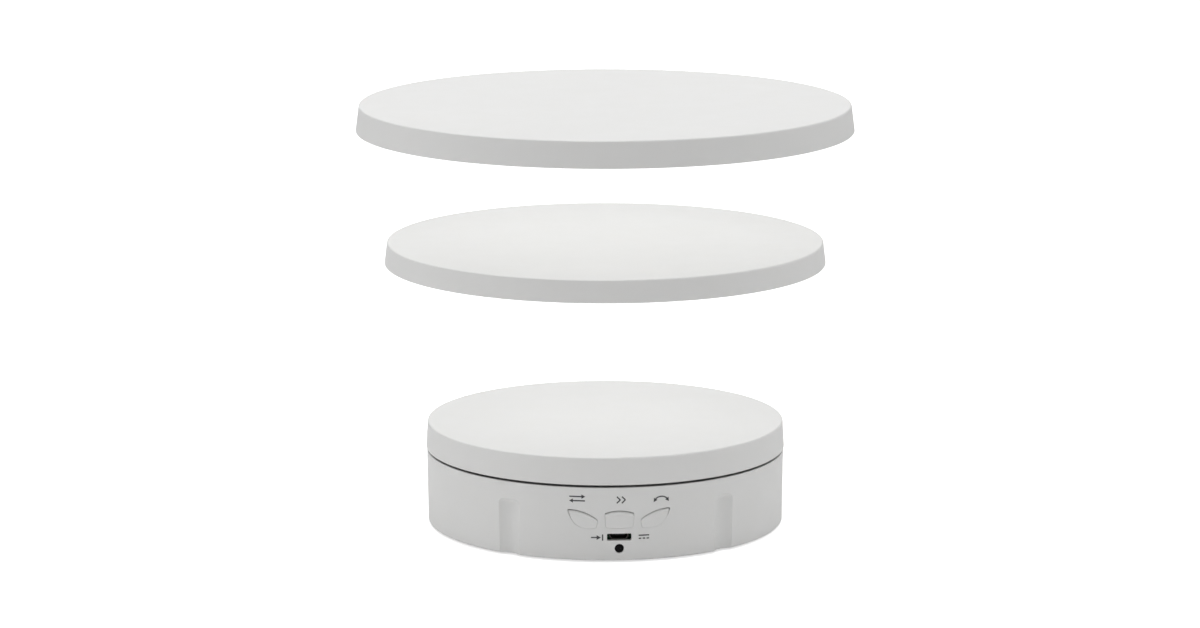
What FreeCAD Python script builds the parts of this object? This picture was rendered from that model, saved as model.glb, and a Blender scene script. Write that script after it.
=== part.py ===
"""Motorised turntable display stand with two larger lift-on display plates.

A low round base carries a 146 mm platter. Two plates, 179 mm and 201 mm across, drop
over the platter; here they hang above it. A small stepping motor drives the platter
through two compound gears and a 72-tooth gear on the hub, which runs on steel balls.

Frame: millimetres, +Z up, origin on the turning axis at the plane the rubber feet
stand on. The control panel faces -Y.
"""
import FreeCAD, Part
import math
import os

Vector = FreeCAD.Vector
os.makedirs("parts", exist_ok=True)


def polar(radius, degrees):
    return radius * math.cos(math.radians(degrees)), radius * math.sin(math.radians(degrees))


# ---------------------------------------------------------------- dimensions
# R_ is a radius, Z_ a height above the ground, T_ a thickness, H_ a height of a piece.
# Base housing
R_WALL_TOP = 72.7
R_WALL_BOT = 72.3        # smaller than the top: moulding draft
R_INNER = 70.2           # inside of the wall
Z_RIM = 0.7              # lower edge of the wall
Z_WALL = 30.2            # top of the wall and of the deck
Z_DECK_UNDER = 26.6
R_LIP = 71.9             # inside of the thin lip round the sunken ring of the deck
Z_TROUGH = 28.5          # floor of that sunken ring
R_WELL = 44.0            # gear well in the deck
Z_WELL = 28.0            # floor of the gear well
Z_WELL_UNDER = 25.6
Z_BOSS = 4.0             # lower ends of the cover screw bosses
R_PANEL = 72.6           # wall radius at the buttons

# Grip flutes round the wall
FLUTE_R = 6.9
FLUTE_DEPTH = 2.2
FLUTE_TOP = 23.4
FLUTE_ANGLES = [-90.0 + 36.0 + 72.0 * k for k in range(5)]
FLUTE_PLACES = [polar(R_WALL_TOP - 0.1 + FLUTE_R - FLUTE_DEPTH, a) for a in FLUTE_ANGLES]

# Bottom cover, its screw bosses behind the flutes, and feet half-way between them
R_COVER = 69.8
Z_COVER = 1.6
T_COVER = 2.2
Z_COVER_TOP = Z_COVER + T_COVER
BOSS_PCD_R = 64.4
BOSS_PLACES = [polar(BOSS_PCD_R, a) for a in FLUTE_ANGLES]
FOOT_R = 5.0
FOOT_POCKET = 0.8
FOOT_PLACES = [polar(57.0, a - 36.0) for a in FLUTE_ANGLES]

# Platter and lift-on plates
R_PLATTER_BOT = 73.0
R_PLATTER_TOP = 72.35
Z_SKIRT = 31.2
Z_PLATTER = 42.2
T_DISC = 2.4
PLATES = [  # name, top radius, bottom radius, top face height, plate height, rib count
    ("medium", 88.2, 89.3, 116.0, 9.0, 12),
    ("large", 99.0, 100.4, 171.8, 10.6, 16)]
RING_IN, RING_OUT, H_RING = 72.95, 74.95, 4.0   # locating ring under a plate
PAD_R = 7.0                                     # silicone grip pads under a plate
T_PAD = 0.6
PAD_SINK = 0.4                                  # depth of the pad's pocket
PAD_PLACES = [polar(52.0, 45.0 + 90.0 * k) for k in range(4)]

# Ball bearing
BALL_R = 2.0
BALL_PCD_R = 55.0
N_BALL = 16
Z_BALL = 33.3
BALL_PLACES = [polar(BALL_PCD_R, 360.0 / N_BALL * k) for k in range(N_BALL)]
RACE_IN, RACE_OUT, T_RACE = 51.5, 58.5, 1.5
Z_LOWER_RACE = 30.9
Z_UPPER_RACE = 34.2
RACE_LIFT = 0.06         # groove centre past the ball centre, towards the other race

# Hub and spindle
R_HUB = 62.0
Z_HUB, Z_HUB_TOP = 34.6, 37.4
R_BUSH = 4.5
Z_BUSH = 29.2
R_SLEEVE = 9.0           # hub sleeve inside the drive gear
R_SPINDLE = 3.0
Z_SPINDLE = 14.6         # lower end of the spindle and of its boss
R_GROOVE = 2.4           # clip groove in the spindle
Z_GROOVE, Z_GROOVE_TOP = 37.8, 38.35
GEAR_SCREWS = [polar(18.0, 30.0 + 120.0 * k) for k in range(3)]

# Gear train, from the hub out to the motor
FINAL = {"module": 0.8, "backlash": 0.10}
TRAIN = {"module": 0.5, "backlash": 0.07}
TEETH_DRIVE, TEETH_FINAL = 72, 14
TEETH_WHEEL, TEETH_PINION = 48, 12
SHIFT = 0.3              # profile shift, + on pinions and - on wheels
CD_FINAL = FINAL["module"] * (TEETH_DRIVE + TEETH_FINAL) / 2.0
CD_TRAIN = TRAIN["module"] * (TEETH_WHEEL + TEETH_PINION) / 2.0
TRAIN_ANGLE = -60.0      # direction of the first pin from the second, and motor from first
STEP = polar(CD_TRAIN, TRAIN_ANGLE)
PIN_2 = (-CD_FINAL, 0.0)
PIN_1 = (PIN_2[0] + STEP[0], PIN_2[1] + STEP[1])
MOTOR = (PIN_1[0] + STEP[0], PIN_1[1] + STEP[1])
R_PIN_1, R_PIN_2 = 1.0, 1.25
Z_PIN_1_TOP = 27.2
Z_PIN_2 = 12.4
BORE_1, BORE_2 = 1.05, 1.3
Z_GEAR_PLATE = 18.2
T_GEAR_PLATE = 2.0
GEAR_POSTS = [(-49.6, 5.5), (-14.0, 5.0), (-42.5, -25.0), (-3.6, -15.4)]

# Stepping motor
R_MOTOR = 10.0
Z_MOTOR = 4.6
Z_MOTOR_TOP = 17.4       # top of the case, underside of the flange
R_MOTOR_BUSH = 1.9
Z_BUSH_TOP = 19.2
MOTOR_EARS = [(MOTOR[0] + side * 12.5, MOTOR[1]) for side in (-1, 1)]
EAR_R = 3.5
LOWER_COIL = (7.2, 10.4)     # bottom and top of each winding
UPPER_COIL = (12.3, 15.4)

# Control board
BOARD_Y = -60.6          # front face of the upright board
T_BOARD = 1.6
BOARD_BACK = BOARD_Y + T_BOARD
BOARD_X = 22.0           # half width
Z_USB = 10.2
Z_LENS = 5.6
Z_PLUGS = 11.0
MOTOR_SOCKET = {"x": -12.0, "width": 10.0}
BATTERY_SOCKET = {"x": 13.0, "width": 6.5}
PLUG_REACH = 7.0         # plug ends behind the board

# Buttons: -1 is the left one, +1 the right one
BUTTON_SIDES = {"direction": -1, "speed": 0, "angle": 1}
STEM_X = 13.8
Z_BUTTONS = 17.4
BUTTON_SOFTEN = 0.45     # corner radius of the outlines
BUTTON_GAP = 0.08        # round each button
BUTTON_RELIEF = 0.40     # extra gap over its upper edge
# Outlines in XZ: three points make an arc, two a line
WING = [
    [(8.5, 17.0), (14.0, 19.95), (20.0, 20.85)],
    [(20.0, 20.85), (19.0, 18.0), (17.1, 15.2)],
    [(17.1, 15.2), (13.1, 13.75), (9.1, 14.0)],
    [(9.1, 14.0), (8.5, 17.0)]]
MIDDLE = [
    [(-5.7, 19.45), (0, 20.5), (5.7, 19.45)],
    [(5.7, 19.45), (5.3, 14.2)],
    [(5.3, 14.2), (0, 13.75), (-5.3, 14.2)],
    [(-5.3, 14.2), (-5.7, 19.45)]]

# Battery, lying along X
CELL_Y, CELL_Z = 43.5, 14.25
CELL_R = 9.2
CELL_END = 32.5
HOLDER_X = 36.6          # half length of the inside of the holder


# ------------------------------------------------------------------- helpers
def cyl(radius, z0, z1, x=0.0, y=0.0):
    return Part.makeCylinder(radius, z1 - z0, Vector(x, y, z0))


def tube(r_out, r_in, z0, z1, x=0.0, y=0.0):
    return cyl(r_out, z0, z1, x, y).cut(cyl(r_in, z0 - 1, z1 + 1, x, y))


def cyl_x(radius, length, x0, y, z):
    return Part.makeCylinder(radius, length, Vector(x0, y, z), Vector(1, 0, 0))


def cyl_y(radius, x, z, y0, y1):
    return Part.makeCylinder(radius, y1 - y0, Vector(x, y0, z), Vector(0, 1, 0))


def box(x0, x1, y0, y1, z0, z1):
    return Part.makeBox(x1 - x0, y1 - y0, z1 - z0, Vector(x0, y0, z0))


def turned(shape, degrees):
    copy = shape.copy()
    copy.rotate(Vector(0, 0, 0), Vector(0, 0, 1), degrees)
    return copy


def fuse(shapes):
    return shapes[0].multiFuse(shapes[1:]).removeSplitter()


def cut_all(body, cutters):
    for cutter in cutters:
        body = body.cut(cutter)
    return body


def polygon_face(points):
    return Part.Face(Part.makePolygon(points + [points[0]]))


def edges_at(shape, level, axis="Z"):
    """Edges that lie flat at one level of an axis."""
    return [e for e in shape.Edges
            if abs(getattr(e.BoundBox, axis + "Min") - level) < 1e-6
            and abs(getattr(e.BoundBox, axis + "Max") - level) < 1e-6]


def rounded(corners, plane="rz"):
    """Closed wire through corners (a, b, radius), each corner rounded by its radius."""
    def point(flat):
        return Vector(flat.x, 0, flat.y) if plane == "rz" else flat

    flats = [Vector(a, b, 0) for a, b, _ in corners]
    count = len(corners)
    trims = []      # start, middle and end of each corner's arc
    for i, here in enumerate(flats):
        radius = corners[i][2]
        if radius <= 0:
            trims.append((here, None, here))
            continue
        before = flats[i - 1] - here
        after = flats[(i + 1) % count] - here
        before.normalize()
        after.normalize()
        half = before.getAngle(after) / 2.0
        reach = radius / math.tan(half)
        bisector = before + after
        bisector.normalize()
        middle = here + bisector * (radius / math.sin(half) - radius)
        trims.append((here + before * reach, middle, here + after * reach))
    edges = []
    for i, (start, middle, end) in enumerate(trims):
        if middle is not None:
            edges.append(Part.Arc(point(start), point(middle), point(end)).toShape())
        following = trims[(i + 1) % count][0]
        if (following - end).Length > 1e-6:
            edges.append(Part.LineSegment(point(end), point(following)).toShape())
    return Part.Wire(edges)


def round_rect(x, y, width, height, radius, plane="rz"):
    signs = ((-1, -1), (1, -1), (1, 1), (-1, 1))
    return rounded([(x + i * width / 2, y + j * height / 2, radius) for i, j in signs], plane)


def revolve(corners):
    return Part.Face(rounded(corners)).revolve(Vector(0, 0, 0), Vector(0, 0, 1), 360)


def prism(wire, y0, y1):
    """Extrude a wire of the XZ plane from y0 to y1."""
    moved = wire.copy()
    moved.translate(Vector(0, y0, 0))
    return Part.Face(moved).extrude(Vector(0, y1 - y0, 0))


def gear(module, backlash, teeth, shift, z0, z1, centre, phase, bore):
    """Straight involute gear, 20 degrees, with a tooth centred at phase (degrees)."""
    pressure = math.radians(20)
    r_base = module * teeth / 2 * math.cos(pressure)
    r_tip = module * (teeth / 2 + 1 + shift)
    r_root = module * (teeth / 2 - 1.25 + shift)

    def involute(angle):
        return math.tan(angle) - angle

    half = (math.pi / 2 + 2 * shift * math.tan(pressure)) / teeth - backlash / (module * teeth)
    r_start = max(r_base, r_root)
    flank = []      # radius, half angle of the tooth there
    for i in range(5):
        r = r_start + (r_tip - r_start) * (i / 4.0) ** 0.8
        slope = math.acos(min(1.0, r_base / r))
        flank.append((r, half + involute(pressure) - involute(slope)))
    if r_base > r_root:
        flank.insert(0, (r_root, flank[0][1]))
    tooth = [(r, -t) for r, t in flank] + [(r, t) for r, t in reversed(flank)]
    x, y = centre
    points = []
    for k in range(teeth):
        middle = 2 * math.pi * k / teeth + math.radians(phase)
        for r, t in tooth:
            points.append(Vector(x + r * math.cos(middle + t), y + r * math.sin(middle + t), z0))
    body = polygon_face(points).extrude(Vector(0, 0, z1 - z0))
    return body.cut(cyl(bore, z0 - 1, z1 + 1, x, y))


def screw(x, y, z_head, head_r, head_h, shank_r, length):
    """Pan-head cross-recess screw pointing up, the underside of its head at z_head."""
    head = cyl(head_r, z_head, z_head + head_h, x, y)
    head = head.makeFillet(min(0.5, head_h * 0.45), edges_at(head, z_head))
    z0, z1 = z_head - 0.5, z_head + head_h * 0.55
    wide, narrow = head_r * 0.62, head_r * 0.16
    for dx, dy in ((wide, narrow), (narrow, wide)):
        head = head.cut(box(x - dx, x + dx, y - dy, y + dy, z0, z1))
    shank = cyl(shank_r, z_head + head_h, z_head + (head_h + length), x, y)
    return head.fuse(shank).removeSplitter()


def screws(places, **sizes):
    return [screw(x, y, **sizes) for x, y in places]


def cable(points, radius):
    """A round cable through the points, leaving and arriving along +Y."""
    along_y = Vector(0, 1, 0)
    path = Part.BSplineCurve()
    path.interpolate(Points=[Vector(*p) for p in points],
                     InitialTangent=along_y, FinalTangent=along_y)
    ring = Part.Wire([Part.Circle(Vector(*points[0]), along_y, radius).toShape()])
    return Part.Wire([path.toShape()]).makePipeShell([ring], True, False)


def save(name, shape):
    if isinstance(shape, list):
        shape = Part.makeCompound(shape)
    solids = shape.Solids
    if not solids or any(not s.isValid() or s.Volume <= 0 for s in solids):
        raise RuntimeError(name + " is not made of sound solids")
    out = solids[0] if len(solids) == 1 else Part.makeCompound(solids)
    out.exportStep("parts/" + name + ".step")


# ----------------------------------------------------------- button outlines
def outline(side, growth):
    """Button outline in the XZ plane, its corners softened, then grown."""
    segments, sign = (WING, side) if side else (MIDDLE, 1)
    edges = []
    for segment in segments:
        curve = Part.Arc if len(segment) == 3 else Part.LineSegment
        edges.append(curve(*[Vector(sign * x, 0, z) for x, z in segment]).toShape())
    wire = Part.Wire(edges)
    wire = wire.makeOffset2D(-BUTTON_SOFTEN, 0).makeOffset2D(BUTTON_SOFTEN, 0)
    if growth:
        wire = wire.makeOffset2D(growth, 0)
    return wire.Wires[0]


def edge_relief(wire, stem_x, depth, slope, shift):
    """What to take off a button so that its upper edge leans back. From the given depth
    behind the wall's outer surface forward, the outline sinks by slope and moves sideways
    by shift for each millimetre."""
    turn = math.asin(stem_x / R_PANEL)
    y_wall = -math.sqrt(R_PANEL ** 2 - stem_x ** 2)
    forward = Vector(math.sin(turn), -math.cos(turn), 0)
    across = Vector(math.cos(turn), math.sin(turn), 0)
    points = []
    for edge in wire.OrderedEdges:
        straight = edge.Curve.TypeId == "Part::GeomLine"
        run = edge.discretize(2 if straight else max(4, int(edge.Length / 0.55) + 2))
        if (run[0] - edge.firstVertex(True).Point).Length > 1e-4:
            run = run[::-1]
        points += run[:-1]
    back = [Vector(p.x, y_wall + (p.x - stem_x) * math.tan(turn), p.z) - forward * depth
            for p in points]
    kept = polygon_face(back).extrude((forward + across * shift + Vector(0, 0, -slope)) * 5.0)
    middle = Vector(stem_x, y_wall, 0) - forward * depth
    corners = [middle + across * dx + Vector(0, 0, z)
               for dx, z in ((-14.0, 6.0), (14.0, 6.0), (14.0, 28.0), (-14.0, 28.0))]
    return polygon_face(corners).extrude(forward * 4.0).cut(kept)


# -------------------------------------------------------------- housing
def housing_additions():
    into_deck = Z_DECK_UNDER + 0.3
    adds = []
    # wall behind each flute, and a cover screw boss with its web
    inside = cyl(R_INNER + 0.6, Z_BOSS - 0.1, Z_DECK_UNDER + 0.5)
    for angle, flute, boss in zip(FLUTE_ANGLES, FLUTE_PLACES, BOSS_PLACES):
        adds.append(cyl(FLUTE_R + 2.0, Z_BOSS, into_deck, *flute).common(inside))
        adds.append(cyl(3.4, Z_BOSS, into_deck, *boss))
        adds.append(turned(box(BOSS_PCD_R, R_INNER + 0.4, -0.9, 0.9, Z_BOSS, into_deck), angle))
    # radial stiffening ribs under the deck, clear of the gear train and the cell
    for angle in (0.0, 36.0, -36.0):
        adds.append(turned(box(46.0, R_INNER + 0.4, -0.8, 0.8, 24.6, into_deck), angle))
    # guide rails for the control board
    for side in (-1, 1):
        x0, x1 = sorted((side * 24.6, side * 20.8))
        adds.append(box(x0, x1, BOARD_Y - 2.0, BOARD_BACK + 2.0, 6.0, into_deck))
    # posts for the gear plate
    for x, y in GEAR_POSTS:
        under = Z_WELL_UNDER if math.hypot(x, y) < 42.0 else Z_DECK_UNDER
        adds.append(cyl(3.0, Z_GEAR_PLATE + T_GEAR_PLATE, under + 0.3, x, y))
    return adds


def housing_cuts():
    cuts = []
    # slots in the board's guide rails
    for side in (-1, 1):
        x0, x1 = sorted((side * (BOARD_X + 0.1), side * 20.0))
        cuts.append(box(x0, x1, BOARD_Y - 0.05, BOARD_BACK + 0.05, 4.0, 24.45))
    for flute, boss in zip(FLUTE_PLACES, BOSS_PLACES):
        cutter = cyl(FLUTE_R, -5.0, FLUTE_TOP, *flute)
        cuts.append(cutter.makeFillet(2.4, edges_at(cutter, FLUTE_TOP)))
        cuts.append(cyl(1.4, 3.0, 15.0, *boss))
    cuts += [cyl(1.1, 19.0, 25.0, *place) for place in GEAR_POSTS]
    # hole for the final pinion, blind seat for the upper end of the first gear pin
    cuts.append(cyl(7.2, Z_WELL_UNDER - 0.5, Z_WELL + 0.5, *PIN_2))
    cuts.append(cyl(R_PIN_1, Z_WELL_UNDER - 0.5, Z_PIN_1_TOP, *PIN_1))
    # button openings, widened upwards and outwards in steps
    wall = (-76.0, -64.5)
    for side in BUTTON_SIDES.values():
        for part in (0.0, 0.5, 1.0):
            hole = prism(outline(side, BUTTON_GAP), *wall)
            shift = BUTTON_RELIEF * part
            hole.translate(Vector(0.7 * side * shift, 0, shift))
            cuts.append(hole)
    # USB opening, lens hole and the flat seat for the lens flange
    cuts.append(prism(round_rect(0, Z_USB, 9.7, 2.9, 0.55), *wall))
    cuts.append(cyl_y(1.85, 0.0, Z_LENS, *wall))
    cuts.append(cyl_y(2.35, 0.0, Z_LENS, -70.9, wall[1]))
    return cuts


def housing():
    z_seat = 31.6   # top of the two rims beside the lower race
    body = revolve([
        (R_SPINDLE, Z_WELL, 0), (R_WELL, Z_WELL, 0), (R_WELL, Z_WALL, 0), (50.0, Z_WALL, 0),
        (50.0, z_seat, 0.25), (RACE_IN - 0.1, z_seat, 0.2), (RACE_IN - 0.1, Z_LOWER_RACE, 0),
        (RACE_OUT + 0.1, Z_LOWER_RACE, 0), (RACE_OUT + 0.1, z_seat, 0.2), (60.2, z_seat, 0.25),
        (60.2, Z_TROUGH, 0.3), (R_LIP, Z_TROUGH, 0.3), (R_LIP, Z_WALL, 0.15),
        (R_WALL_TOP, Z_WALL, 0.3), (R_WALL_BOT, Z_RIM, 0.5), (R_INNER, Z_RIM, 0.3),
        (R_INNER, Z_DECK_UNDER, 0), (46.2, Z_DECK_UNDER, 0), (46.2, Z_WELL_UNDER, 0),
        (7.0, Z_WELL_UNDER, 0), (7.0, Z_SPINDLE, 0.4), (R_SPINDLE, Z_SPINDLE, 0)])
    body = body.multiFuse(housing_additions())
    return cut_all(body, housing_cuts()).removeSplitter()


save("housing", housing())


# -------------------------------------------------------------- bottom cover and feet
def bottom_cover():
    z0, z1 = Z_COVER, Z_COVER_TOP
    below, above = z0 - 1, z1 + 1
    body = revolve([(0, z0, 0), (R_COVER, z0, 0.3), (R_COVER, z1, 0), (0, z1, 0)])
    # round rib on the inside, open around the motor, and two rests under the board
    adds = [tube(31.0, 29.8, z1 - 0.1, z1 + 0.9).cut(box(-33, -8, -40, -14, 0, 10))]
    for x0, x1 in ((-14.0, -9.0), (9.0, 14.0)):
        adds.append(box(x0, x1, BOARD_Y - 0.9, BOARD_BACK + 0.9, z1 - 0.1, 4.55))
    body = body.multiFuse(adds)
    cuts = []
    for boss, foot in zip(BOSS_PLACES, FOOT_PLACES):
        cuts.append(cyl(1.7, below, above, *boss))
        cuts.append(cyl(2.9, below, z0 + 1.1, *boss))
        cuts.append(cyl(FOOT_R + 0.05, below, z0 + FOOT_POCKET, *foot))
    # shallow label recess and six cooling slots
    cuts.append(box(-16, 16, 14, 32, below, z0 + 0.3))
    width = 1.2
    for k in range(6):
        slot = round_rect(-7.5 + 3.0 * k, -16.0, width, 12.0, width * 0.499, "xy")
        slot.translate(Vector(0, 0, below))
        cuts.append(Part.Face(slot).extrude(Vector(0, 0, above - below)))
    return cut_all(body, cuts).removeSplitter()


def rubber_feet():
    feet = [cyl(FOOT_R, 0.0, Z_COVER + FOOT_POCKET, *place) for place in FOOT_PLACES]
    return [foot.makeFillet(0.5, edges_at(foot, 0.0)) for foot in feet]


save("bottom_cover", bottom_cover())
save("rubber_feet", rubber_feet())
save("cover_screws", screws(BOSS_PLACES, z_head=Z_COVER - 0.3, head_r=2.6, head_h=1.4,
                            shank_r=1.4, length=9.5))


# -------------------------------------------------------------- bearing
def race(z0, z_groove):
    groove = Part.makeTorus(BALL_PCD_R, BALL_R + 0.08, Vector(0, 0, z_groove))
    return tube(RACE_OUT, RACE_IN, z0, z0 + T_RACE).cut(groove)


def ball_cage():
    holes = [cyl(BALL_R + 0.15, 32.0, 35.0, *place) for place in BALL_PLACES]
    return cut_all(tube(58.1, 51.9, 32.7, 33.9), holes)


save("lower_race", race(Z_LOWER_RACE, Z_BALL + RACE_LIFT))
save("upper_race", race(Z_UPPER_RACE, Z_BALL - RACE_LIFT))
save("ball_cage", ball_cage())
save("bearing_balls", [Part.makeSphere(BALL_R, Vector(x, y, Z_BALL)) for x, y in BALL_PLACES])


# -------------------------------------------------------------- spindle and hub
def spindle():
    """Spindle pressed into the housing, with a groove for its retaining clip."""
    return revolve([
        (0, Z_SPINDLE, 0), (R_SPINDLE, Z_SPINDLE, 0.3), (R_SPINDLE, Z_GROOVE, 0),
        (R_GROOVE, Z_GROOVE, 0), (R_GROOVE, Z_GROOVE_TOP, 0), (R_SPINDLE, Z_GROOVE_TOP, 0),
        (R_SPINDLE, 39.0, 0.3), (0, 39.0, 0)])


def spindle_clip():
    """Open ring with a holed lug at each side of its mouth, which faces -Y."""
    z0, z1 = Z_GROOVE + 0.02, Z_GROOVE_TOP - 0.03
    r_in = R_GROOVE + 0.02
    clip = tube(4.6, r_in, z0, z1).cut(box(-1.5, 1.5, -6.0, 0.0, 37, 39))
    for angle in (-40.0, -140.0):
        place = polar(4.4, angle)
        lug = cyl(1.0, z0, z1, *place)
        clip = clip.fuse(lug.cut(cyl(0.4, 37, 39, *place)).cut(cyl(r_in, 37, 39)))
    return clip.removeSplitter()


def drive_hub():
    z_groove = Z_UPPER_RACE + T_RACE
    groove_in, groove_out = RACE_IN - 0.05, RACE_OUT + 0.05
    hub = revolve([
        (R_BUSH, Z_BUSH, 0), (R_SLEEVE, Z_BUSH, 0.3), (R_SLEEVE, Z_HUB, 0),
        (groove_in, Z_HUB, 0), (groove_in, z_groove, 0), (groove_out, z_groove, 0),
        (groove_out, Z_HUB, 0), (R_HUB, Z_HUB, 0.4), (R_HUB, Z_HUB_TOP, 0.4),
        (R_BUSH, Z_HUB_TOP, 0)])
    # lugs that stand between the platter's paired ribs
    lug_top = Z_HUB_TOP + 1.9
    lug = box(34.0, 46.0, -1.5, 1.5, Z_HUB_TOP - 0.2, lug_top)
    lug = lug.makeFillet(0.5, edges_at(lug, lug_top))
    for k in range(4):
        hub = hub.fuse(turned(lug, 67.5 + 90.0 * k))
    holes = [cyl(5.5, 30.5, 40.0, *polar(41.0, 45.0 * k)) for k in range(8)]
    holes += [cyl(1.1, 33.0, 36.4, *place) for place in GEAR_SCREWS]
    return cut_all(hub, holes).removeSplitter()


save("spindle", spindle())
save("spindle_clip", spindle_clip())
save("drive_hub", drive_hub())
save("hub_bush", tube(R_BUSH, R_SPINDLE + 0.04, Z_BUSH, 37.6))


# -------------------------------------------------------------- gear train
# At each mesh one gear has a tooth on the line of centres and the other a gap.
def drive_gear():
    body = gear(**FINAL, teeth=TEETH_DRIVE, shift=-SHIFT, z0=29.6, z1=Z_HUB,
                centre=(0, 0), phase=180.0, bore=R_SLEEVE)
    for place in GEAR_SCREWS:
        body = body.cut(cyl(1.3, 29.0, 35.0, *place)).cut(cyl(2.5, 29.0, 31.0, *place))
    # ring groove in the underside
    return body.cut(tube(25.0, 22.5, 29.0, 30.4))


def train_wheel(z0, z1, centre, bore):
    return gear(**TRAIN, teeth=TEETH_WHEEL, shift=-SHIFT, z0=z0, z1=z1, centre=centre,
                phase=TRAIN_ANGLE + 180.0 / TEETH_WHEEL, bore=bore)


def train_pinion(z0, z1, centre, bore):
    return gear(**TRAIN, teeth=TEETH_PINION, shift=SHIFT, z0=z0, z1=z1, centre=centre,
                phase=TRAIN_ANGLE + 180.0, bore=bore)


def second_gear():
    return fuse([
        gear(**FINAL, teeth=TEETH_FINAL, shift=SHIFT, z0=28.9, z1=34.2,
             centre=PIN_2, phase=180.0 / TEETH_FINAL, bore=BORE_2),
        train_wheel(23.3, 25.3, PIN_2, BORE_2),
        tube(2.3, BORE_2, 20.4, 23.4, *PIN_2),
        tube(4.6, BORE_2, 25.2, 29.0, *PIN_2)])


def first_gear():
    return fuse([train_pinion(22.5, 25.3, PIN_1, BORE_1), train_wheel(20.6, 22.6, PIN_1, BORE_1)])


save("drive_gear", drive_gear())
save("gear_screws", screws(GEAR_SCREWS, z_head=29.75, head_r=2.2, head_h=1.25,
                           shank_r=1.1, length=5.2))
save("second_gear", second_gear())
save("first_gear", first_gear())
save("motor_pinion", train_pinion(20.5, 23.0, MOTOR, 0.75))
save("gear_pins", [cyl(R_PIN_1, Z_GEAR_PLATE, Z_PIN_1_TOP, *PIN_1),
                   cyl(R_PIN_2, Z_PIN_2, 34.3, *PIN_2)])


# -------------------------------------------------------------- gear plate
def half_hull(points):
    hull = []
    for x, y in points:
        while len(hull) > 1:
            (x0, y0), (x1, y1) = hull[-2:]
            if (x1 - x0) * (y - y0) - (y1 - y0) * (x - x0) > 0:
                break
            hull.pop()
        hull.append((x, y))
    return hull[:-1]


def gear_plate():
    """Plate whose outline is stretched round discs at its posts, pin and motor."""
    discs = [(place, 4.2) for place in GEAR_POSTS]
    discs += [(PIN_2, 6.0), (MOTOR_EARS[1], 4.0), (MOTOR_EARS[0], 4.0), (MOTOR, 11.5)]
    rim = set()
    for (x, y), r in discs:
        for k in range(12):
            angle = math.pi * k / 6
            rim.add((round(x + r * math.cos(angle), 4), round(y + r * math.sin(angle), 4)))
    rim = sorted(rim)
    hull = half_hull(rim) + half_hull(rim[::-1])
    body = polygon_face([Vector(x, y, Z_GEAR_PLATE) for x, y in hull])
    body = body.extrude(Vector(0, 0, T_GEAR_PLATE))
    body = body.fuse(cyl(3.6, Z_PIN_2, Z_GEAR_PLATE + 0.2, *PIN_2))
    # radius and place of each hole; the one on the axis clears the spindle boss
    holes = [(1.3, place) for place in GEAR_POSTS]
    holes += [(7.3, (0.0, 0.0)), (R_PIN_2, PIN_2), (R_PIN_1, PIN_1), (3.05, MOTOR)]
    holes += [(1.0, place) for place in MOTOR_EARS]
    return cut_all(body, [cyl(r, 12.0, 25, *place) for r, place in holes]).removeSplitter()


save("gear_plate", gear_plate())
save("gear_plate_screws", screws(GEAR_POSTS, z_head=16.9, head_r=2.2, head_h=1.3,
                                 shank_r=1.1, length=6.2))


# -------------------------------------------------------------- stepping motor
def motor_box(x_half, y0, y1, z0, z1):
    """Box centred on the motor in X, its y measured from the motor's axis."""
    x, y = MOTOR
    return box(x - x_half, x + x_half, y + y0, y + y1, z0, z1)


def motor_case():
    floor = cyl(R_MOTOR, Z_MOTOR, 5.4, *MOTOR).cut(cyl(R_MOTOR_BUSH, 4, 6, *MOTOR))
    case = tube(R_MOTOR, 9.4, Z_MOTOR, Z_MOTOR_TOP, *MOTOR).fuse(floor)
    return case.cut(motor_box(4.2, -12.0, -6.0, 5.9, 9.6))


def motor_flange():
    z0, z1 = Z_MOTOR_TOP, Z_GEAR_PLATE
    flange = motor_box(12.5, -EAR_R, EAR_R, z0, z1)
    for ear in MOTOR_EARS:
        flange = flange.fuse(cyl(EAR_R, z0, z1, *ear))
    flange = flange.fuse(cyl(R_MOTOR, z0, z1, *MOTOR))
    flange = flange.fuse(cyl(3.0, z1 - 0.1, Z_BUSH_TOP, *MOTOR))
    flange = flange.cut(cyl(R_MOTOR_BUSH, 15, 20, *MOTOR))
    return cut_all(flange, [cyl(1.05, 15, 20, *ear) for ear in MOTOR_EARS]).removeSplitter()


def winding_spaces(r_out):
    """Lower and upper winding rings; the lower one is open behind the terminal."""
    lower, upper = [tube(r_out, 8.0, *coil, *MOTOR) for coil in (LOWER_COIL, UPPER_COIL)]
    return [lower.cut(motor_box(4.0, -12.0, 0.0, 0, 30)), upper]


def motor_bobbins():
    lower, upper = winding_spaces(9.3)
    return [tube(9.2, 6.0, 6.4, 11.2, *MOTOR).cut(lower),
            tube(9.2, 6.0, 11.5, 16.2, *MOTOR).cut(upper)]


def motor_shaft():
    shaft = revolve([(0, 4.8, 0), (0.75, 4.8, 0.15), (0.75, 23.3, 0.15), (0, 23.3, 0)])
    return shaft.translated(Vector(*MOTOR, 0))


save("motor_case", motor_case())
save("motor_flange", motor_flange())
save("motor_screws", screws(MOTOR_EARS, z_head=16.3, head_r=1.9, head_h=1.1,
                            shank_r=1.0, length=2.7))
save("motor_bushes", [tube(R_MOTOR_BUSH, 0.78, z0, z1, *MOTOR)
                      for z0, z1 in ((Z_MOTOR, 6.0), (16.4, Z_BUSH_TOP))])
save("motor_bobbins", motor_bobbins())
save("motor_windings", winding_spaces(9.1))
save("motor_magnet", tube(5.6, 0.75, 6.6, 16.0, *MOTOR))
save("motor_shaft", motor_shaft())
save("motor_terminal", motor_box(4.0, -11.6, -9.45, 6.1, 9.4))


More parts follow.
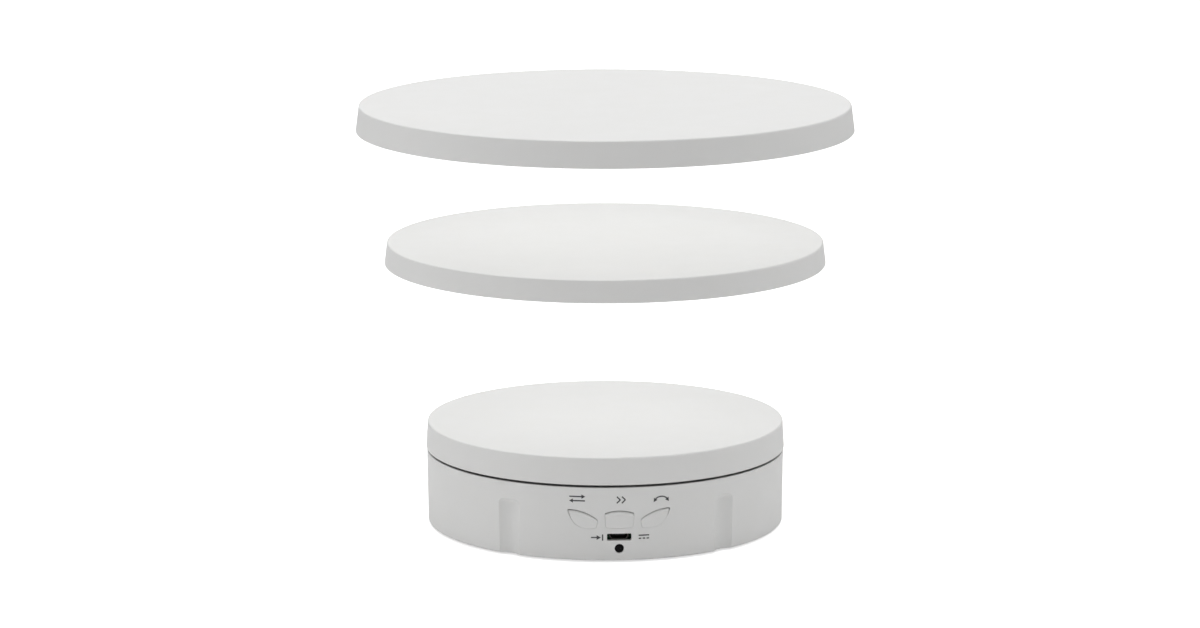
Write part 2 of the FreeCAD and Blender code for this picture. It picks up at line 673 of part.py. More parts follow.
# -------------------------------------------------------------- control board, front side
def tact_switch(x):
    front = BOARD_Y - 3.5
    body = box(x - 3.0, x + 3.0, front, BOARD_Y, Z_BUTTONS - 3.0, Z_BUTTONS + 3.0)
    return body.cut(cyl_y(1.85, x, Z_BUTTONS, front - 0.5, BOARD_Y - 1.7))


def usb_receptacle():
    # corners: x, height above the middle of the socket, radius
    outer = [(-3.8, 1.35, 0.35), (3.8, 1.35, 0.35), (3.8, -0.2, 0.2),
             (2.9, -1.35, 0.3), (-2.9, -1.35, 0.3), (-3.8, -0.2, 0.2)]
    inner = [(-3.5, 1.05, 0.2), (3.5, 1.05, 0.2), (3.5, -0.1, 0.1),
             (2.7, -1.05, 0.2), (-2.7, -1.05, 0.2), (-3.5, -0.1, 0.1)]
    outer, inner = [rounded([(x, Z_USB + z, r) for x, z, r in shape]) for shape in (outer, inner)]
    return prism(outer, -70.0, BOARD_Y).cut(prism(inner, -72.0, BOARD_Y - 1.5))


def status_led():
    dome, base = BOARD_Y - 4.2, BOARD_Y - 1.0
    led = cyl_y(1.5, 0.0, Z_LENS, dome, base)
    led = led.fuse(Part.makeSphere(1.5, Vector(0, dome, Z_LENS)))
    return led.fuse(cyl_y(1.49, 0.0, Z_LENS, base, BOARD_Y)).removeSplitter()


def indicator_lens():
    front, flange_front, back = -72.0, -70.85, -68.9
    lens = cyl_y(1.8, 0.0, Z_LENS, front, back)
    lens = lens.makeFillet(0.7, edges_at(lens, front, "Y"))
    # lens and flange have a flat underneath, clear of the bottom cover
    z_flat = Z_COVER_TOP + 0.15
    flange = cyl_y(2.25, 0.0, Z_LENS, flange_front, back)
    flange = flange.cut(box(-3.0, 3.0, -71.5, -68.0, 0.0, z_flat))
    lens = lens.cut(box(-3.0, 3.0, flange_front, -68.0, 0.0, z_flat))
    return lens.fuse(flange).cut(cyl_y(1.65, 0.0, Z_LENS, -70.6, -68.0)).removeSplitter()


save("control_board", box(-BOARD_X, BOARD_X, BOARD_Y, BOARD_BACK, 4.6, 24.4))
save("tact_switches", [tact_switch(side * STEM_X) for side in BUTTON_SIDES.values()])
save("usb_receptacle", usb_receptacle())
save("usb_contact_tongue", box(-2.4, 2.4, -69.3, BOARD_Y - 1.5, Z_USB + 0.1, Z_USB + 0.65))
save("status_led", status_led())
save("indicator_lens", indicator_lens())


# -------------------------------------------------------------- control board, back side
def on_back(x0, x1, height, z0, z1, lift=0.0):
    """Box on the back of the board, lifted off it by lift."""
    return box(x0, x1, BOARD_BACK + lift, BOARD_BACK + height, z0, z1)


def socket(x, width):
    half = width / 2
    body = on_back(x - half, x + half, 4.6, Z_PLUGS - 2.5, Z_PLUGS + 2.5)
    half -= 0.7
    return body.cut(on_back(x - half, x + half, 6.0, Z_PLUGS - 1.8, Z_PLUGS + 1.8, lift=1.2))


def plug(x, width):
    half = width / 2 - 0.8
    return on_back(x - half, x + half, PLUG_REACH, Z_PLUGS - 1.7, Z_PLUGS + 1.7, lift=1.8)


def motor_cable():
    wires = []
    for k in range(4):
        x_plug = -14.7 + 1.8 * k
        x_motor = MOTOR[0] - 2.7 + 1.8 * k
        wires.append(cable([(x_plug, BOARD_BACK + PLUG_REACH, Z_PLUGS),
                            (0.5 * (x_plug + x_motor), BOARD_BACK + 12.0, 9.0),
                            (x_motor, MOTOR[1] - 11.6, 7.7)], 0.55))
    return wires


save("controller_chip", on_back(-5.0, 5.0, 1.6, 15.0, 21.0))
save("motor_driver_chip", on_back(-19.0, -14.2, 1.5, 17.6, 22.4))
save("charger_chip", on_back(14.6, 18.6, 1.4, 18.2, 22.2))
save("capacitors", [cyl_y(2.5, x, z, BOARD_BACK, BOARD_BACK + 5.5)
                    for x, z in ((10.2, 19.6), (-10.0, 20.2))])
save("cable_sockets", [socket(**MOTOR_SOCKET), socket(**BATTERY_SOCKET)])
save("motor_plug", plug(**MOTOR_SOCKET))
save("battery_plug", plug(**BATTERY_SOCKET))
save("motor_cable", motor_cable())


# -------------------------------------------------------------- battery
def cell_box(x0, x1, y_half, z0, z1):
    """Box centred on the cell in Y."""
    return box(x0, x1, CELL_Y - y_half, CELL_Y + y_half, z0, z1)


def battery_holder():
    holder = cell_box(-38.2, 38.2, 10.6, Z_COVER_TOP, 16.5)
    holder = holder.cut(cell_box(-HOLDER_X, HOLDER_X, 9.5, 5.2, 20.0))
    trough = cyl_x(9.3, 90.0, -45, CELL_Y, CELL_Z - 0.05)
    trough = trough.common(cell_box(-HOLDER_X, HOLDER_X, 12, 4.6, 30))
    return holder.cut(trough).removeSplitter()


def battery_cell():
    cell = cyl_x(CELL_R, 2 * CELL_END, -CELL_END, CELL_Y, CELL_Z)
    rims = [e for e in cell.Edges if e.Curve.TypeId == "Part::GeomCircle"]
    tip = cyl_x(3.6, 1.4, CELL_END - 0.1, CELL_Y, CELL_Z)
    return cell.makeFillet(0.8, rims).fuse(tip).removeSplitter()


def battery_contacts():
    right = cell_box(33.8, 34.4, 6.0, 5.4, 20.0)
    right = right.fuse(cell_box(34.4, HOLDER_X, 1.5, 13.0, 15.0))
    left = cell_box(-34.0, -33.4, 6.0, 5.4, 20.0)
    left = left.fuse(cell_box(-HOLDER_X, -34.0, 1.5, 13.0, 15.0))
    return [right, left.fuse(cell_box(-33.45, -CELL_END, 3, 12.0, 17.0))]


save("battery_holder", battery_holder())
save("battery_cell", battery_cell())
save("battery_contacts", battery_contacts())
PLUG_END = (BOARD_BACK + PLUG_REACH, Z_PLUGS)
save("battery_cable", [
    cable([(12.2, *PLUG_END), (22.0, -34.0, 6.4), (33.0, -8.0, 6.2), (33.6, 32.9, 12.0)], 0.7),
    cable([(13.9, *PLUG_END), (23.8, -34.6, 6.4), (34.8, -8.4, 6.2), (35.4, 32.9, 12.0)], 0.7)])


# -------------------------------------------------------------- buttons
def button(side):
    stem_x = side * STEM_X
    face = outline(side, 0.0)
    # the outer surface leans out a little towards the top
    cone = revolve([(0, 12.0, 0), (72.55, 12.0, 0), (72.58, 13.6, 0), (73.0, 21.2, 0),
                    (73.0, 23.0, 0), (0, 23.0, 0)])
    cap = prism(face, -78.0, -66.0).common(cone)
    # its upper edge is turned back in two slopes
    for depth, slope in ((0.62, 1.0), (0.26, 2.6)):
        cap = cap.cut(edge_relief(face, stem_x, depth, slope, -side * 0.45 * slope))
    flange = prism(outline(side, 1.0), -72.0, -65.0)
    flange = flange.common(cyl(70.1, 8.0, 26.0)).cut(cyl(69.0, 7.0, 27.0))
    cap = cap.cut(prism(outline(side, -1.1), -69.6, -60.0))
    stem = cyl_y(1.6, stem_x, Z_BUTTONS, -70.5, BOARD_Y - 5.0)
    return cap.fuse(flange).fuse(stem).removeSplitter()


right_button = button(BUTTON_SIDES["angle"])
save("speed_button", button(BUTTON_SIDES["speed"]))
save("angle_button", right_button)
save("direction_button", right_button.mirror(Vector(0, 0, 0), Vector(1, 0, 0)))
for name, side in BUTTON_SIDES.items():
    save(name + "_switch_plunger",
         cyl_y(1.7, side * STEM_X, Z_BUTTONS, BOARD_Y - 5.0, BOARD_Y - 2.6))


# -------------------------------------------------------------- platter and plates
def disc_shell(r_top, r_bot, z_top, height, skirt):
    """Round cap: a disc with a flared skirt, rounded at its top edge."""
    z_bot = z_top - height
    z_under = z_top - T_DISC
    return revolve([
        (0, z_top, 0), (r_top, z_top, 0.7), (r_bot, z_bot, 0.35),
        (r_bot - skirt + 0.2, z_bot, 0.25), (r_top - skirt - 0.1, z_under, 0.8),
        (0, z_under, 0)])


def platter():
    skirt = 2.2
    z0, z1 = Z_HUB_TOP, Z_PLATTER - T_DISC + 0.3
    parts = [disc_shell(R_PLATTER_TOP, R_PLATTER_BOT, Z_PLATTER, Z_PLATTER - Z_SKIRT, skirt)]
    # single and paired radial ribs in turn, and two round ribs
    for k in range(8):
        for y in ((-2.5, 2.5) if k % 2 else (0.0,)):
            rib = box(15.5, R_PLATTER_TOP - skirt, y - 0.8, y + 0.8, z0, z1)
            parts.append(turned(rib, 22.5 + 45.0 * k))
    parts.append(tube(17.0, 15.4, z0, z1))
    parts.append(tube(60.0, 58.4, z0, z1))
    return fuse(parts)


def plate(r_top, r_bot, z_top, height, ribs):
    z_under = z_top - T_DISC
    body = disc_shell(r_top, r_bot, z_top, height, 2.3)
    adds = [tube(RING_OUT, RING_IN, z_under - H_RING, z_under + 0.3)]
    rib = box(RING_OUT - 0.6, r_top - 1.8, -0.8, 0.8, z_under - 3.4, z_under + 0.3)
    adds += [turned(rib, 360.0 / ribs * k) for k in range(ribs)]
    pockets = [cyl(PAD_R + 0.1, z_under - 1.0, z_under + PAD_SINK, *p) for p in PAD_PLACES]
    return cut_all(body.multiFuse(adds), pockets).removeSplitter()


def pads(z_top):
    z_under = z_top - T_DISC
    z0 = z_under - T_PAD
    blanks = [cyl(PAD_R, z0, z_under + PAD_SINK, *place) for place in PAD_PLACES]
    return [pad.makeFillet(0.25, edges_at(pad, z0)) for pad in blanks]


save("platter", platter())
for name, r_top, r_bot, z_top, height, ribs in PLATES:
    save(name + "_plate", plate(r_top, r_bot, z_top, height, ribs))
    save(name + "_plate_pads", pads(z_top))
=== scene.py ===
"""A motorised turntable: looks, legends, studio floor, lights and camera.

Metres, +Z up. The turntable stands on z = 0 with its platter turning about the Z axis.
Its front, where the legends are, faces -Y, and +X is to the right seen from there.
"""

import math

import bmesh
import bpy
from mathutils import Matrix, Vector


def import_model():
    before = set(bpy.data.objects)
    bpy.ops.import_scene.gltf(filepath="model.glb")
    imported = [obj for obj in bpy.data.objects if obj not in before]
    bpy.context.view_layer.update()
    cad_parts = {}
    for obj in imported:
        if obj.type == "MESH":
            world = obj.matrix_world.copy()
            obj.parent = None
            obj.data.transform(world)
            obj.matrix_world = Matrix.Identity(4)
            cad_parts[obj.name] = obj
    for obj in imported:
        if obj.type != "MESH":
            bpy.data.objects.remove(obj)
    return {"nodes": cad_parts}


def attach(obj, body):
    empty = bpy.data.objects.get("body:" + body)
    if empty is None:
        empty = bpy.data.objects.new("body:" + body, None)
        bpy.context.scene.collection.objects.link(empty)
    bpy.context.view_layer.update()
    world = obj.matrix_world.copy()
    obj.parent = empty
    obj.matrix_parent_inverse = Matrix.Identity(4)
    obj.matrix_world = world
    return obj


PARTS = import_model()["nodes"]
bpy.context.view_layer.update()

MOTOR_AXIS = (-0.0194, -0.02598)     # x, y of the motor's vertical axis

WHITE = (0.79, 0.79, 0.782)
STEEL = (0.58, 0.58, 0.59)


# ------------------------------------------------------------------ objects
def add_object(name, data):
    thing = bpy.data.objects.new(name, data)
    bpy.context.scene.collection.objects.link(thing)
    return thing


def use_material(thing, material):
    thing.data.materials.clear()
    thing.data.materials.append(material)


# ------------------------------------------------------------- shader writer
SURFACE_INPUTS = {
    "color": "Base Color", "rough": "Roughness", "metallic": "Metallic", "normal": "Normal",
    "specular": "Specular IOR Level", "ior": "IOR", "anisotropy": "Anisotropic",
    "coat": "Coat Weight", "coat_rough": "Coat Roughness", "sheen": "Sheen Weight",
    "transmission": "Transmission Weight",
    "scatter": "Subsurface Weight", "scatter_scale": "Subsurface Scale",
    "emission_color": "Emission Color", "emission": "Emission Strength",
}
SCATTER_RADIUS = (1.0, 0.9, 0.8)     # red, green, blue


class Shader:
    """A material with one Principled surface; textures use object coordinates."""

    def __init__(self, name, **values):
        self.material = bpy.data.materials.new(name)
        self.material.use_nodes = True
        self.tree = self.material.node_tree
        self.tree.nodes.clear()
        output = self.node("ShaderNodeOutputMaterial")
        self.surface = self.node("ShaderNodeBsdfPrincipled")
        self.feed(output.inputs["Surface"], self.surface.outputs[0])
        self.position = self.node("ShaderNodeTexCoord").outputs["Object"]
        self.drive(**values)
        if "scatter" in values:
            self.surface.inputs["Subsurface Radius"].default_value = SCATTER_RADIUS

    def node(self, kind, **settings):
        node = self.tree.nodes.new(kind)
        for key, value in settings.items():
            setattr(node, key, value)
        return node

    def feed(self, socket, value):
        """Give an input a number, an RGB colour or a link."""
        if isinstance(value, (int, float)):
            socket.default_value = value
        elif isinstance(value, tuple):
            socket.default_value = (*value, 1.0)
        else:
            self.tree.links.new(value, socket)

    def drive(self, **values):
        """Feed surface inputs, named as in SURFACE_INPUTS, and return the material."""
        for key, value in values.items():
            self.feed(self.surface.inputs[SURFACE_INPUTS[key]], value)
        return self.material

    def noise(self, scale, detail=4.0, roughness=0.5, at=None, dims="3D"):
        node = self.node("ShaderNodeTexNoise", noise_dimensions=dims)
        self.feed(node.inputs["Scale"], scale)
        self.feed(node.inputs["Detail"], detail)
        self.feed(node.inputs["Roughness"], roughness)
        self.feed(node.inputs["W" if dims == "1D" else "Vector"], at or self.position)
        return node.outputs[0]

    def cells(self, scale, at):
        node = self.node("ShaderNodeTexVoronoi", feature="F1")
        self.feed(node.inputs["Scale"], scale)
        self.feed(node.inputs["Vector"], at)
        return node.outputs["Distance"]

    def bands(self, value, colors):
        """Equal bands of flat colour over 0 to 1."""
        node = self.node("ShaderNodeValToRGB")
        node.color_ramp.interpolation = "CONSTANT"
        stops = node.color_ramp.elements
        while len(stops) < len(colors):
            stops.new(0.5)
        for i, (stop, color) in enumerate(zip(stops, colors)):
            stop.position = i / len(colors)
            stop.color = (*color, 1.0)
        self.feed(node.inputs[0], value)
        return node.outputs[0]

    def calc(self, operation, *values):
        node = self.node("ShaderNodeMath", operation=operation)
        for socket, value in zip(node.inputs, values):
            self.feed(socket, value)
        return node.outputs[0]

    def spread(self, value, low=0.0, high=1.0, start=0.3, stop=0.7):
        """Stretch start..stop, by default the useful range of a noise, to low..high."""
        node = self.node("ShaderNodeMapRange")
        for socket, number in zip(node.inputs, (value, start, stop, low, high)):
            self.feed(socket, number)
        return node.outputs[0]

    def around(self, value, middle, margin):
        return self.spread(value, middle - margin, middle + margin)

    def mix(self, factor, first, second):
        node = self.node("ShaderNodeMix", data_type="RGBA", blend_type="MIX")
        # sockets 0, 6 and 7 are the factor and the two colours
        for index, value in ((0, factor), (6, first), (7, second)):
            self.feed(node.inputs[index], value)
        return node.outputs[2]

    def mottle(self, noise, first, second):
        return self.mix(self.spread(noise), first, second)

    def mapping(self, scale=(1, 1, 1), shift=(0, 0, 0)):
        node = self.node("ShaderNodeMapping")
        node.inputs["Scale"].default_value = scale
        node.inputs["Location"].default_value = shift
        self.feed(node.inputs["Vector"], self.position)
        return node.outputs[0]

    def xyz(self, vector=None):
        node = self.node("ShaderNodeSeparateXYZ")
        self.feed(node.inputs[0], vector or self.position)
        return node.outputs

    def radius(self, axis):
        """Distance from a vertical axis at (x, y)."""
        place = self.xyz()
        x = self.calc("SUBTRACT", place[0], axis[0])
        y = self.calc("SUBTRACT", place[1], axis[1])
        squares = (self.calc("MULTIPLY", x, x), self.calc("MULTIPLY", y, y))
        return self.calc("SQRT", self.calc("ADD", *squares))

    def bump(self, height, strength, depth, over=None):
        node = self.node("ShaderNodeBump")
        self.feed(node.inputs["Strength"], strength)
        self.feed(node.inputs["Distance"], depth)
        self.feed(node.inputs["Height"], height)
        if over is not None:
            self.feed(node.inputs["Normal"], over)
        return node.outputs[0]


def scaled(color, factor, lift=0.0):
    return tuple(min(1, c * factor + lift) for c in color)


# ---------------------------------------------------------------- materials
def satin_white(name, color, rough, grain=1.0, seed=0.0):
    """Spark-eroded white moulding: fine grain, faint flow and handling variation."""
    s = Shader(name, color=color, rough=rough, specular=0.42, scatter=0.06, scatter_scale=0.0012)
    place = s.mapping(shift=(seed, seed * 0.7, seed * 1.3))
    flow = s.noise(scale=9.0, detail=3.0, at=place)
    handling = s.noise(scale=70.0, roughness=0.55, at=place)
    fine = s.noise(scale=2600.0, detail=2.0, roughness=0.6, at=place)
    pits = s.cells(scale=3400.0, at=place)
    tint = s.mottle(flow, scaled(color, 0.985), scaled(color, 1.012))
    worn = (color[0] * 0.985, color[1] * 0.985, color[2] * 0.975)
    tint = s.mix(s.spread(handling, high=0.35, start=0.35, stop=0.65), tint, worn)
    gloss = s.calc("ADD", s.around(handling, rough, 0.045), s.around(fine, 0.0, 0.03))
    texture = s.calc("ADD", s.calc("MULTIPLY", fine, 0.6), s.calc("MULTIPLY", pits, 0.5))
    texture = s.bump(texture, strength=0.20 * grain, depth=0.00003)
    waves = s.bump(flow, strength=0.05, depth=0.0002, over=texture)
    return s.drive(color=tint, rough=gloss, normal=waves)


def plastic(name, color, rough, scatter=0.0, tint=0.05, grain=0.12, grain_scale=1500.0):
    """Moulded plastic; tint is how far the colour wanders, grain the bump strength."""
    s = Shader(name, color=color, rough=rough, specular=0.45,
               scatter=scatter, scatter_scale=0.0015)
    cloud = s.noise(scale=90.0, roughness=0.55)
    fine = s.noise(scale=grain_scale, detail=3.0, roughness=0.6)
    return s.drive(color=s.mottle(cloud, scaled(color, 1 - tint), scaled(color, 1 + tint)),
                   rough=s.around(fine, rough, 0.06),
                   normal=s.bump(fine, strength=grain, depth=0.00004))


def metal(name, color, rough, finish="turned", axis=(0.0, 0.0), scale=9000.0, grain=0.12,
          anisotropy=0.5, tint=0.10):
    """Metal: turned has rings about a vertical axis, drawn has lines along Z,
    rolled has lines along X and tumbled has no direction."""
    s = Shader(name, color=color, rough=rough, metallic=1.0, anisotropy=anisotropy)
    along = scale / 60.0     # texture scale along the drawn or rolled lines
    if finish == "turned":
        line = s.noise(scale=scale, detail=3.0, roughness=0.6, at=s.radius(axis), dims="1D")
    elif finish == "tumbled":
        line = s.noise(scale=scale / 6.0, roughness=0.65)
    else:
        stretch = (scale, scale, along) if finish == "drawn" else (along, scale, scale)
        line = s.noise(scale=1.0, roughness=0.6, at=s.mapping(scale=stretch))
    cloud = s.noise(scale=160.0, detail=5.0, roughness=0.6)
    gloss = s.calc("ADD", s.spread(line, low=rough - 0.05, high=rough + 0.07),
                   s.around(cloud, 0.0, 0.03))
    return s.drive(color=s.mottle(cloud, scaled(color, 1 - tint), scaled(color, 1 + tint * 0.6)),
                   rough=gloss, normal=s.bump(line, strength=grain, depth=0.00002))


def rubber(name, color, rough):
    """Matt rubber with patches of pale dust."""
    s = Shader(name, color=color, rough=rough, specular=0.3, sheen=0.15)
    fine = s.noise(scale=1200.0, roughness=0.7)
    dust = s.spread(s.noise(scale=140.0), high=0.5, start=0.52, stop=0.72)
    return s.drive(color=s.mix(dust, color, scaled(color, 1.5, lift=0.02)),
                   rough=s.around(fine, rough, 0.08),
                   normal=s.bump(fine, strength=0.35, depth=0.00006))


def silicone(name):
    s = Shader(name, color=(0.74, 0.75, 0.74), rough=0.38, specular=0.4,
               scatter=0.35, scatter_scale=0.002)
    fine = s.noise(scale=900.0, detail=3.0, roughness=0.6)
    cloud = s.noise(scale=60.0, detail=3.0)
    return s.drive(color=s.mottle(cloud, (0.70, 0.71, 0.70), (0.78, 0.79, 0.78)),
                   rough=s.spread(fine, low=0.32, high=0.46),
                   normal=s.bump(fine, strength=0.2, depth=0.00004))


def circuit_board(name):
    """Green solder mask over copper tracks, with a weave showing faintly through it."""
    s = Shader(name, color=(0.02, 0.16, 0.07), rough=0.28, coat=0.35, coat_rough=0.15)
    place = s.xyz(s.mapping())
    flat = s.node("ShaderNodeCombineXYZ")     # the board's x, z plane
    s.feed(flat.inputs[0], place[0])
    s.feed(flat.inputs[1], place[2])

    # the joints of a brick pattern are the tracks
    brick = s.node("ShaderNodeTexBrick", offset=0.37, squash=1.7, squash_frequency=3)
    for key, value in {"Scale": 1.0, "Mortar Size": 0.00022, "Mortar Smooth": 0.2,
                       "Brick Width": 0.0052, "Row Height": 0.0019}.items():
        s.feed(brick.inputs[key], value)
    s.feed(brick.inputs["Vector"], flat.outputs[0])
    track = brick.outputs["Fac"]

    weave = s.node("ShaderNodeTexChecker")
    s.feed(weave.inputs["Scale"], 2600.0)
    s.feed(weave.inputs["Vector"], flat.outputs[0])
    faint = s.calc("MULTIPLY", weave.outputs["Fac"], 0.18)
    base = s.mix(faint, (0.016, 0.135, 0.055), (0.022, 0.17, 0.075))
    return s.drive(color=s.mix(track, base, (0.05, 0.30, 0.13)),
                   rough=s.spread(s.noise(scale=700.0, detail=3.0), low=0.24, high=0.34),
                   normal=s.bump(track, strength=0.35, depth=0.00003))


def chip(name, color=(0.018, 0.018, 0.02)):
    s = Shader(name, color=color, rough=0.62, specular=0.4)
    fine = s.noise(scale=4200.0, detail=3.0, roughness=0.6)
    cloud = s.noise(scale=260.0, detail=3.0)
    return s.drive(color=s.mottle(cloud, color, scaled(color, 1.6)),
                   rough=s.spread(fine, low=0.55, high=0.7),
                   normal=s.bump(fine, strength=0.3, depth=0.00003))


def winding(name, pitch=0.00016):
    """Layer-wound enamelled copper: turns run round the coil, stacked along Z."""
    s = Shader(name, color=(0.62, 0.29, 0.12), rough=0.3, metallic=0.85,
               coat=0.5, coat_rough=0.12)
    turns = s.calc("SINE", s.calc("MULTIPLY", s.xyz()[2], 2 * math.pi / pitch))
    cloud = s.noise(scale=500.0, detail=3.0)
    return s.drive(color=s.mottle(cloud, (0.50, 0.21, 0.08), (0.70, 0.35, 0.15)),
                   rough=s.spread(cloud, low=0.24, high=0.4),
                   normal=s.bump(turns, strength=0.6, depth=0.00004))


def wires(name, colors, rough=0.4):
    """Insulated wires, each strand in one of the colours."""
    s = Shader(name, color=colors[0], rough=rough, specular=0.5)
    strand = s.node("ShaderNodeNewGeometry").outputs["Random Per Island"]
    fine = s.noise(scale=800.0, detail=3.0, roughness=0.6)
    return s.drive(color=s.mix(s.spread(fine, high=0.12), s.bands(strand, colors),
                               (0.9, 0.9, 0.9)),
                   rough=s.around(fine, rough, 0.06),
                   normal=s.bump(fine, strength=0.15, depth=0.00004))


def glossy_sleeve(name, color, rough=0.22):
    """Glossy sleeve with slow ripples drawn out along X."""
    s = Shader(name, color=color, rough=rough, coat=0.3, coat_rough=0.1)
    ripple = s.noise(scale=35.0, at=s.mapping(scale=(0.2, 1, 1)))
    fine = s.noise(scale=900.0, detail=2.0)
    return s.drive(color=s.mottle(ripple, scaled(color, 0.85), scaled(color, 1.15)),
                   rough=s.spread(fine, low=rough - 0.04, high=rough + 0.06),
                   normal=s.bump(ripple, strength=0.3, depth=0.0003))


def clear_resin(name, color=(0.85, 0.9, 0.88)):
    s = Shader(name, color=color, rough=0.06, transmission=0.9, ior=1.5)
    cloud = s.noise(scale=400.0, detail=3.0)
    return s.drive(color=s.mottle(cloud, scaled(color, 0.96), color),
                   rough=s.spread(cloud, low=0.04, high=0.12))


def smoked(name):
    s = Shader(name, color=(0.004, 0.004, 0.005), rough=0.3, specular=0.06)
    cloud = s.noise(scale=900.0, detail=3.0)
    return s.drive(color=s.mottle(cloud, (0.003, 0.003, 0.003), (0.007, 0.007, 0.008)),
                   rough=s.spread(cloud, low=0.22, high=0.36),
                   normal=s.bump(cloud, strength=0.1, depth=0.00003))


def ink(name):
    s = Shader(name, color=(0.075, 0.075, 0.078), rough=0.6, specular=0.3)
    fine = s.noise(scale=2600.0, roughness=0.7)
    worn = s.spread(fine, start=0.35)
    return s.drive(color=s.mix(worn, (0.060, 0.060, 0.063), (0.11, 0.11, 0.112)),
                   rough=s.spread(fine, low=0.5, high=0.7),
                   normal=s.bump(fine, strength=0.2, depth=0.00002))


def part_materials():
    """The material of every part, by part name."""
    acetal = dict(rough=0.34, scatter=0.15, tint=0.03, grain=0.08, grain_scale=700.0)
    bobbin = dict(color=(0.70, 0.66, 0.52), rough=0.42)
    plug = dict(color=(0.80, 0.77, 0.67), rough=0.4)
    plunger = dict(color=(0.70, 0.70, 0.66), rough=0.4)
    race = dict(color=(0.56, 0.56, 0.57), rough=0.22)
    screw = dict(color=(0.62, 0.62, 0.60), rough=0.3, finish="tumbled")
    sheet = dict(finish="rolled", scale=5000.0, grain=0.06)
    motor_sheet = dict(scale=4000.0, grain=0.08)

    shell = satin_white("shell_white", WHITE, rough=0.52)
    shell_parts = ("housing", "platter", "medium_plate", "large_plate",
                   "direction_button", "speed_button", "angle_button")
    return dict.fromkeys(shell_parts, shell) | {
        "bottom_cover": satin_white("cover_white", (0.76, 0.76, 0.75), rough=0.56,
                                    grain=1.2, seed=3.1),
        # drive train
        "drive_hub": plastic("hub_white", (0.72, 0.72, 0.69), rough=0.38, scatter=0.05,
                             tint=0.03, grain=0.10, grain_scale=900.0),
        "drive_gear": plastic("acetal_drive", (0.80, 0.78, 0.71), **acetal),
        "second_gear": plastic("acetal_second", (0.78, 0.76, 0.69), **acetal),
        "first_gear": plastic("acetal_first", (0.81, 0.79, 0.73), **acetal),
        "gear_plate": plastic("glass_filled_grey", (0.36, 0.37, 0.38), rough=0.55,
                              tint=0.08, grain=0.35, grain_scale=2600.0),
        "gear_pins": metal("pin_steel", STEEL, rough=0.2, finish="drawn"),
        "hub_bush": metal("hub_bush_bronze", (0.50, 0.33, 0.16), rough=0.42),
        "spindle": metal("spindle_steel", STEEL, rough=0.22, finish="drawn"),
        "spindle_clip": metal("clip_steel", (0.24, 0.24, 0.26), rough=0.34,
                              finish="tumbled", grain=0.1),
        # ball bearing
        "ball_cage": plastic("cage_nylon", (0.035, 0.035, 0.038), rough=0.5),
        "lower_race": metal("race_lower_steel", **race),
        "upper_race": metal("race_upper_steel", **race),
        "bearing_balls": metal("ball_steel", (0.66, 0.66, 0.67), rough=0.08, finish="tumbled",
                               grain=0.02, anisotropy=0.0, tint=0.03),
        # screws
        "cover_screws": metal("screw_zinc_cover", **screw),
        "gear_screws": metal("screw_zinc_gear", **screw),
        "gear_plate_screws": metal("screw_zinc_plate", **screw),
        "motor_screws": metal("screw_zinc_motor", **screw),
        # motor
        "motor_shaft": metal("shaft_steel", (0.60, 0.60, 0.61), rough=0.18, finish="drawn"),
        "motor_case": metal("motor_can", (0.60, 0.61, 0.61), rough=0.32, finish="drawn",
                            **motor_sheet),
        "motor_flange": metal("motor_flange_steel", (0.62, 0.62, 0.61), rough=0.3,
                              finish="rolled", **motor_sheet),
        "motor_bushes": metal("motor_bush_bronze", (0.48, 0.31, 0.15), rough=0.45,
                              axis=MOTOR_AXIS),
        "motor_pinion": metal("pinion_brass", (0.72, 0.52, 0.22), rough=0.28, axis=MOTOR_AXIS),
        "motor_magnet": plastic("ferrite", (0.03, 0.03, 0.033), rough=0.55, tint=0.2,
                                grain=0.4, grain_scale=2200.0),
        "motor_windings": winding("copper_winding"),
        "motor_bobbins": plastic("bobbin_cream", **bobbin),
        "motor_terminal": plastic("terminal_cream", **bobbin),
        # feet and pads
        "rubber_feet": rubber("foot_rubber", (0.10, 0.10, 0.10), rough=0.8),
        "medium_plate_pads": silicone("medium_pad_silicone"),
        "large_plate_pads": silicone("large_pad_silicone"),
        # electronics
        "control_board": circuit_board("solder_mask"),
        "tact_switches": chip("switch_black", (0.022, 0.022, 0.024)),
        "controller_chip": chip("controller_black"),
        "motor_driver_chip": chip("driver_black"),
        "charger_chip": chip("charger_black"),
        # receptacle colour is darkened far below bare nickel plating: painted shade for the deep
        # port recess
        "usb_receptacle": metal("receptacle_nickel_painted_shade", (0.11, 0.107, 0.10), rough=0.42, **sheet),
        "usb_contact_tongue": plastic("tongue_black", (0.016, 0.016, 0.017), rough=0.4),
        "battery_contacts": metal("contact_nickel", (0.62, 0.60, 0.56), rough=0.24, **sheet),
        "battery_holder": plastic("holder_black", (0.022, 0.022, 0.024), rough=0.5,
                                  tint=0.12, grain=0.3, grain_scale=1800.0),
        "battery_cell": glossy_sleeve("cell_blue_sleeve", (0.03, 0.13, 0.33)),
        "capacitors": glossy_sleeve("capacitor_sleeve", (0.02, 0.03, 0.06)),
        "cable_sockets": plastic("socket_cream", (0.76, 0.73, 0.62), rough=0.4),
        "motor_plug": plastic("motor_plug_cream", **plug),
        "battery_plug": plastic("battery_plug_cream", **plug),
        "motor_cable": wires("motor_wires", [(0.45, 0.03, 0.02), (0.02, 0.02, 0.02),
                                             (0.65, 0.42, 0.02), (0.02, 0.09, 0.40)]),
        "battery_cable": wires("battery_wires", [(0.50, 0.02, 0.02), (0.02, 0.02, 0.02)]),
        "direction_switch_plunger": plastic("plunger_a", **plunger),
        "speed_switch_plunger": plastic("plunger_b", **plunger),
        "angle_switch_plunger": plastic("plunger_c", **plunger),
        "status_led": clear_resin("led_resin"),
        "indicator_lens": smoked("lens_smoke"),
    }


material_of = part_materials()
for part_name, part in PARTS.items():
    use_material(part, material_of[part_name])

